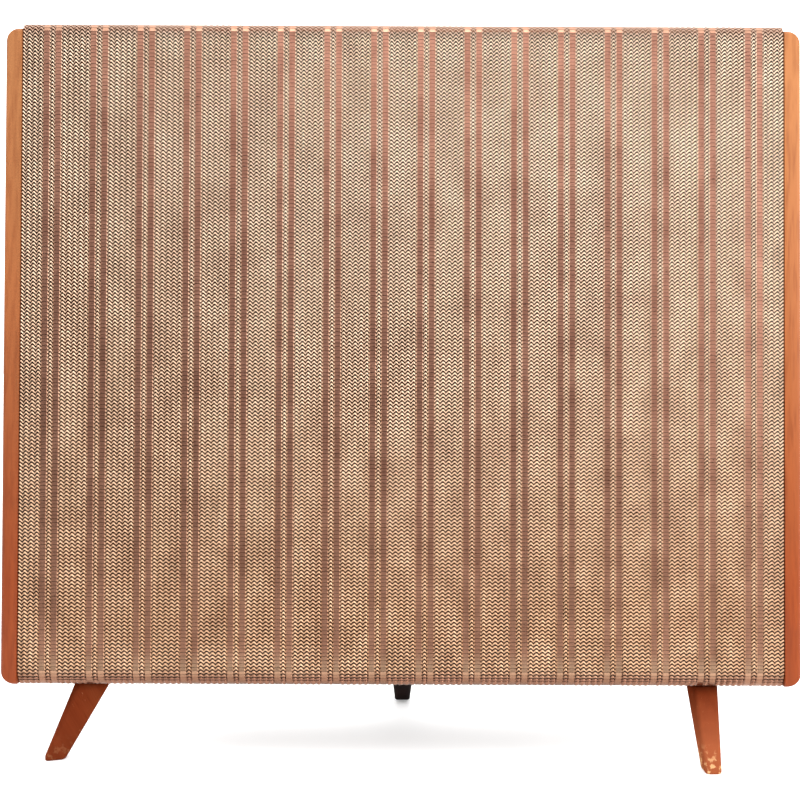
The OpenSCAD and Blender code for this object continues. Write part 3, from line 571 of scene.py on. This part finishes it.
def ribbon_rows(name, rows, x, rise, out, tilt, width, thick, surface, material_name, replaced,
                sharp=None):
    """Rows of twisted strips side by side.

    Each strip is a closed ribbon that runs along X. At station x its middle is displaced by rise
    along the sheet and by out off it, its lower edge is tilted forward by tilt, and it is width wide.
    These are given for each station, or for each row and station. The stretches between stations
    that sharp marks are shaded flat.
    """
    corners = []
    for edge, skin in ((-1, 1), (1, 1), (1, -1), (-1, -1)):
        along = rise + edge * width / 2 * np.cos(tilt) + skin * thick / 2 * np.sin(tilt)
        off = out - edge * width / 2 * np.sin(tilt) + skin * thick / 2 * np.cos(tilt)
        shape = (len(rows), len(x))
        corners.append((np.broadcast_to(along, shape), np.broadcast_to(off, shape)))
    run = rows[:, None, None] + np.stack([c[0] for c in corners], axis=-1)
    depth, height = surface(run, np.stack([c[1] for c in corners], axis=-1))
    y, z = body_world(depth, height)
    points = np.stack([np.broadcast_to(x[None, :, None], run.shape), y, z], axis=-1)

    stations = len(x)
    first = np.arange(stations - 1)[:, None] * 4
    corner = np.arange(4)[None]
    after = (corner + 1) % 4
    sides = np.stack([first + corner, first + 4 + corner, first + 4 + after, first + after], axis=-1)
    end = (stations - 1) * 4
    caps = np.array([[0, 1, 2, 3], [end + 3, end + 2, end + 1, end]])
    strip = np.concatenate([sides.reshape(-1, 4), caps])
    smooth = None
    if sharp is not None:
        on_strip = np.concatenate([np.repeat(~sharp, 4), [False, False]])
        smooth = np.tile(on_strip, len(rows))
    faces = (np.arange(len(rows))[:, None, None] * stations * 4 + strip[None]).reshape(-1, 4)
    return mesh_object(name, points, faces, material_name, "cabinet", replaced, smooth)


# Shape of the formed mesh: half the rise of a peak, how far a peak stands out and a valley sinks in,
# the twist and width of a strand, and the same of a flat strip
VALLEY = 1.45 * MM
STAND = 0.8 * MM
SINK = 1.3 * MM
MESH_TILT = math.radians(30)
STRAND = 2.5 * MM
FLAT_OUT = 0.3 * MM
FLAT_TILT = math.radians(4)
FLAT_STRIP = 3.6 * MM

# Where the stations lie in a column, as shares of its width
FLAT_ENDS = (0.04, 0.96)
PEAK_ENDS = (0.38, 0.62)
AFTER_FLAT = 0.14
BEFORE_FLAT = 0.86

# Sheet thickness, how deep the sheet lies under the CAD's face, the relief left on the rolls, the
# depth of the plain hems, and into how many pieces the sheet is cut
SHEET = 0.55 * MM
SHEET_DEPTH = 0.75 * MM
ROLL_RELIEF = 0.12
HEM_DEPTH = 1.2 * MM
HEM_STEPS = 16
FRONT_PARTS = 4


def front_stations():
    """Stations of one front strip: a flat-topped peak in each mesh column, and level on the flats."""
    flats = {FIRST_FLAT + FLAT_PERIOD * k for k in range(FLAT_PAIRS)}
    flats |= {f + 2 for f in flats}
    half = GRILLE_HIGH.x
    columns = range(-int(half / COLUMN) - 1, int(half / COLUMN) + 2)
    rows = []
    for column in columns:
        left = (column - 0.5) * COLUMN
        if column in flats:
            for share in FLAT_ENDS:
                rows.append((left + share * COLUMN, 0.0, FLAT_OUT, FLAT_TILT, FLAT_STRIP))
        else:
            start = AFTER_FLAT if column - 1 in flats else 0.0
            rows.append((left + start * COLUMN, -VALLEY, -SINK, MESH_TILT, STRAND))
            for share in PEAK_ENDS:
                rows.append((left + share * COLUMN, VALLEY, STAND, MESH_TILT, STRAND))
            if column + 1 in flats:
                rows.append((left + BEFORE_FLAT * COLUMN, -VALLEY, -SINK, MESH_TILT, STRAND))
    table = np.array(rows)
    inside = np.abs(table[:, 0]) < half
    ends = [[sign * half, *(np.interp(sign * half, table[:, 0], table[:, k]) for k in range(1, 5))]
            for sign in (-1, 1)]
    return np.vstack([ends[0], table[inside], ends[1]]).T


def relief(rows):
    """How much of the mesh's relief is left at each row: all on the face, little round the rolls."""
    low = np.clip((rows - BOTTOM_RUN) / (BOTTOM_ARC / 2), 0, 1)
    top = np.clip((WRAP - TOP_RUN - TOP_ARC / 2 - rows) / TOP_ARC, 0, 1)
    return (ROLL_RELIEF + (1 - ROLL_RELIEF) * np.minimum(low, top))[:, None]


def build_front_grille():
    """The slit and formed sheet, in four stretches from the bottom flange round to the top flange."""
    x, rise, out, tilt, width = front_stations()
    sharp = (rise[:-1] == 0) & (rise[1:] == 0)
    count = int(WRAP / ROW)
    rows = (np.arange(count - 1) + 1) * WRAP / count
    for part, share in enumerate(np.array_split(rows, FRONT_PARTS)):
        left = relief(share)
        ribbon_rows(f"front_grille_sheet_{part + 1}", share, x, rise, out * left - SHEET_DEPTH,
                    tilt * left, width, SHEET, wrapped, "grille_bronze", ["front_grille"], sharp)


def build_hem(name, first, last):
    """A plain strip of the sheet just under the strands, from one run along the wrap to another, as
    painted shade.
    """
    half = GRILLE_HIGH.x
    run = np.linspace(first, last, HEM_STEPS)
    sheets = [body_world(*wrapped(run, out)) for out in (-HEM_DEPTH, -HEM_DEPTH - SHEET)]
    corners = [np.broadcast_arrays(side, y, z) for side in (-half, half) for y, z in sheets]
    points = np.array(corners).transpose(2, 0, 1)
    # four points at each station: outer and inner at the left, then outer and inner at the right
    walls = np.array([(0, 2, 6, 4), (1, 5, 7, 3), (0, 4, 5, 1), (2, 3, 7, 6)])
    stations = 4 * np.arange(HEM_STEPS - 1)
    faces = (stations[:, None, None] + walls).reshape(-1, 4)
    ends = np.array([(0, 1, 3, 2), (0, 2, 3, 1)]) + [[0], [4 * (HEM_STEPS - 1)]]
    hem = mesh_object(name, points, np.vstack([faces, ends]), "grille_bronze", "cabinet",
                      ["front_grille"])
    # painted shade: the hem takes the grille's darker plain bronze
    hem.material_slots[0].material = PLAIN_BRONZE


# ---------------------------------------------------------------- rear grille

REAR_COLUMN = 12 * MM
REAR_ROW = 5.4 * MM
REAR_TILT = math.radians(14)
REAR_STRAND = 1.5 * MM
REAR_SHEET = 1.0 * MM

# Where the border lies in the body's depth, its thickness, its gap to the body's ends and its width
BORDER_DEPTH = 52.3 * MM
BORDER_THICK = 1.5 * MM
BORDER_GAP = 6 * MM
BORDER_WIDTH = 12 * MM
BORDER_EDGE_R = 0.4 * MM


def build_rear_grille():
    """Flattened expanded metal with diamond openings inside a plain border."""
    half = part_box("rear_grille")[1].x
    bottom, top = BORDER_GAP + BORDER_WIDTH, PANEL_H - BORDER_GAP - BORDER_WIDTH
    side = half - BORDER_WIDTH

    def rear_plane(run, out):
        return BORDER_DEPTH + BORDER_THICK / 2 - out, run

    count = int((top - bottom) / REAR_ROW)
    rows = bottom + (np.arange(count) + 0.5) * (top - bottom) / count
    pitch = (top - bottom) / count
    turns = int(2 * side / REAR_COLUMN) * 2
    x = np.linspace(-side, side, turns + 1)
    swing = np.where(np.arange(turns + 1) % 2 == 0, 1, -1) * pitch / 2
    flat = np.zeros_like(x)
    for part, sign in (("a", 1), ("b", -1)):
        share = rows[0 if sign > 0 else 1::2]
        ribbon_rows(f"rear_grille_strands_{part}", share, x, sign * swing, flat, flat + REAR_TILT,
                    flat + REAR_STRAND, REAR_SHEET, rear_plane, "rear_enamel", ["rear_grille"])
    build_border(half, BORDER_GAP, PANEL_H - BORDER_GAP)


def build_border(half, bottom, top):
    """Plain border of the rear grille: a flat frame of rectangular section."""
    made = bmesh.new()
    rings = []
    for inset, back in ((0, 0), (0, BORDER_THICK), (BORDER_WIDTH, BORDER_THICK), (BORDER_WIDTH, 0)):
        corners = [(-half + inset, bottom + inset), (half - inset, bottom + inset),
                   (half - inset, top - inset), (-half + inset, top - inset)]
        ring = []
        for cx, cz in corners:
            y, z = body_world(BORDER_DEPTH + back, cz)
            ring.append(made.verts.new((cx, y, z)))
        rings.append(ring)
    for k in range(4):
        here, after = rings[k], rings[(k + 1) % 4]
        for c in range(4):
            made.faces.new((here[c], here[(c + 1) % 4], after[(c + 1) % 4], after[c]))
    bmesh.ops.recalc_face_normals(made, faces=made.faces)
    mesh = bpy.data.meshes.new("rear_grille_border")
    made.to_mesh(mesh)
    made.free()
    piece = place("rear_grille_border", mesh, "rear_enamel", "cabinet", ["rear_grille"])
    soften(piece, BORDER_EDGE_R, 2)


# Points closer than this are one point, and edges sharper than this angle are rounded
WELD_GAP = 1e-6
SHARP = math.radians(30)


def soften(piece, width, segments):
    """Rounds a piece's sharp edges a little, so that they catch the light."""
    weld = piece.modifiers.new("weld", "WELD")
    weld.merge_threshold = WELD_GAP
    bevel = piece.modifiers.new("bevel", "BEVEL")
    bevel.width = width
    bevel.segments = segments
    bevel.limit_method = "ANGLE"
    bevel.angle_limit = SHARP
    bevel.harden_normals = False


# ---------------------------------------------------------------- legs

LEG_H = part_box("left_leg")[1].z
LEG_ROUND = 24
LEG_LEVELS = 10
FOOT_LEVELS = 4
FOOT_ROUND = 3 * MM

# Radius of a leg's corners at the foot, in millimetres; it is 1 mm more at the top
LEG_CORNER = 4

# Degrees from +X, seen from above, in which each foot lies, how far it stands out from its pivot, and
# the leg's section along and across that direction at the top and at the foot
LEFT_HEADING = 196.5
RIGHT_HEADING = 273
REAR_HEADING = 90
FRONT_RUN = 44 * MM
REAR_RUN = 86.8 * MM
FRONT_TOP = (37 * MM, 28 * MM)
FRONT_FOOT = (22.5 * MM, 18 * MM)
REAR_TOP = (37.6 * MM, 32.4 * MM)
REAR_FOOT = (23 * MM, 19 * MM)


def rounded_ring(half_x, half_y, radius):
    """Corner points of a rounded rectangle, counter-clockwise."""
    ring = []
    for quarter, (sx, sy) in enumerate(((1, 1), (-1, 1), (-1, -1), (1, -1))):
        for k in range(LEG_ROUND // 4 + 1):
            turn = math.pi / 2 * (quarter + k / (LEG_ROUND // 4))
            ring.append((sx * (half_x - radius) + radius * math.cos(turn),
                         sy * (half_y - radius) + radius * math.sin(turn)))
    return ring


def leg_mesh(name, run, top, foot):
    """A tapered leg leaning along its own X, with rounded corners and a rounded foot."""
    levels = []
    for k in range(FOOT_LEVELS + 1):
        turn = math.pi / 2 * k / FOOT_LEVELS
        shrink = FOOT_ROUND * 0.5 * (1 - math.sin(turn))
        levels.append((FOOT_ROUND * (1 - math.cos(turn)), shrink))
    for k in range(1, LEG_LEVELS + 1):
        levels.append((FOOT_ROUND + (LEG_H - FOOT_ROUND) * k / LEG_LEVELS, 0))
    made = bmesh.new()
    rings = []
    for z, shrink in levels:
        share = z / LEG_H
        half_x = (foot[0] + (top[0] - foot[0]) * share) / 2 - shrink
        half_y = (foot[1] + (top[1] - foot[1]) * share) / 2 - shrink
        middle = run * (1 - share)
        radius = (LEG_CORNER + share) * MM
        rings.append([made.verts.new((middle + px, py, z))
                      for px, py in rounded_ring(half_x, half_y, radius)])
    for here, above in zip(rings, rings[1:]):
        for k in range(len(here)):
            after = (k + 1) % len(here)
            made.faces.new((here[k], here[after], above[after], above[k]))
    made.faces.new(rings[0][::-1])
    made.faces.new(rings[-1])
    for face in made.faces:
        face.smooth = len(face.verts) == 4
    mesh = bpy.data.meshes.new(name)
    made.to_mesh(mesh)
    made.free()
    return mesh


def build_legs():
    """Each leg hangs from its pivot stud and leans out in its own direction."""
    plan = (
        ("left_leg", LEFT_HEADING, FRONT_RUN, FRONT_TOP, FRONT_FOOT, "leg_wood"),
        ("right_leg", RIGHT_HEADING, FRONT_RUN, FRONT_TOP, FRONT_FOOT, "leg_wood"),
        ("rear_leg", REAR_HEADING, REAR_RUN, REAR_TOP, REAR_FOOT, "ebonised_wood"),
    )
    for node, turn, run, top, foot, material_name in plan:
        low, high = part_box(node + "_stud")
        pivot = Vector(((low.x + high.x) / 2, (low.y + high.y) / 2, 0))
        matrix = Matrix.Translation(pivot) @ Matrix.Rotation(math.radians(turn), 4, "Z")
        place(node + "_turned", leg_mesh(node + "_turned", run, top, foot), material_name, node,
              [node], matrix)


# ---------------------------------------------------------------- stage

FLOOR_RADIUS = 9
FLOOR_GREY = (0.74, 0.74, 0.74, 1)
FLOOR_GLOW = 0.3
WHITE = (1, 1, 1, 1)


def make_stage():
    """Pale, faintly glowing floor, white surroundings, and soft lights overhead and at the right."""
    bpy.ops.mesh.primitive_circle_add(vertices=96, radius=FLOOR_RADIUS, fill_type="NGON",
                                      location=(0, 0, 0))
    floor = bpy.context.object
    floor.name = "floor"
    paint = Finish("floor_paint", Roughness=0.7)
    paint.shader.inputs["Base Color"].default_value = FLOOR_GREY
    paint.shader.inputs["Emission Color"].default_value = WHITE
    paint.shader.inputs["Emission Strength"].default_value = FLOOR_GLOW
    floor.data.materials.append(paint.material)

    make_surroundings()
    soft_light("overhead", at=(0, -1.2, 2.5), aim=(0, -0.05, 0.5), width=1.4, height=1.0, power=20)
    soft_light("beside", at=(1.5, -1.3, 0.9), aim=(0.3, 0, 0.3), width=0.8, height=0.8, power=20)


def make_surroundings():
    """A studio that is bright overhead and behind the object, and dim in front of it.

    The strength of the surroundings grows with how far a direction points up and back.
    """
    world = bpy.data.worlds.new("surroundings")
    world.use_nodes = True
    tree = world.node_tree
    direction = tree.nodes.new("ShaderNodeTexCoord")
    lean = tree.nodes.new("ShaderNodeVectorMath")
    lean.operation = "DOT_PRODUCT"
    lean.inputs[1].default_value = (0, 0.35, 0.9)
    ramp = tree.nodes.new("ShaderNodeMapRange")
    ramp.interpolation_type = "SMOOTHSTEP"
    for socket, value in (("From Min", 0.12), ("From Max", 0.5), ("To Min", 0.26), ("To Max", 2.8)):
        ramp.inputs[socket].default_value = value
    tree.links.new(direction.outputs["Generated"], lean.inputs[0])
    tree.links.new(lean.outputs["Value"], ramp.inputs["Value"])
    tree.links.new(ramp.outputs["Result"], tree.nodes["Background"].inputs["Strength"])
    tree.nodes["Background"].inputs["Color"].default_value = WHITE
    bpy.context.scene.world = world


def soft_light(name, at, aim, width, height, power):
    data = bpy.data.lights.new(name, "AREA")
    data.shape = "RECTANGLE"
    data.size, data.size_y = width, height
    data.energy = power
    light = bpy.data.objects.new(name, data)
    light.location = at
    light.rotation_mode = "QUATERNION"
    light.rotation_quaternion = (Vector(aim) - Vector(at)).to_track_quat("-Z", "Y")
    bpy.context.scene.collection.objects.link(light)


# ---------------------------------------------------------------- assembly

CHEEK_EDGE_R = 2.2 * MM

bpy.context.scene.view_settings.view_transform = "Standard"
make_stage()
dress_cad_nodes()
build_front_grille()
build_hem("front_grille_low_hem", BOTTOM_RUN - 2 * MM, BOTTOM_RUN + BOTTOM_ARC / 4)
build_hem("front_grille_top_hem", WRAP - TOP_RUN - 0.9 * TOP_ARC, WRAP - TOP_RUN + LIP_FADE)
build_rear_grille()
build_legs()
for cheek in ("left_cheek", "right_cheek"):
    soften(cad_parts[cheek], CHEEK_EDGE_R, 4)
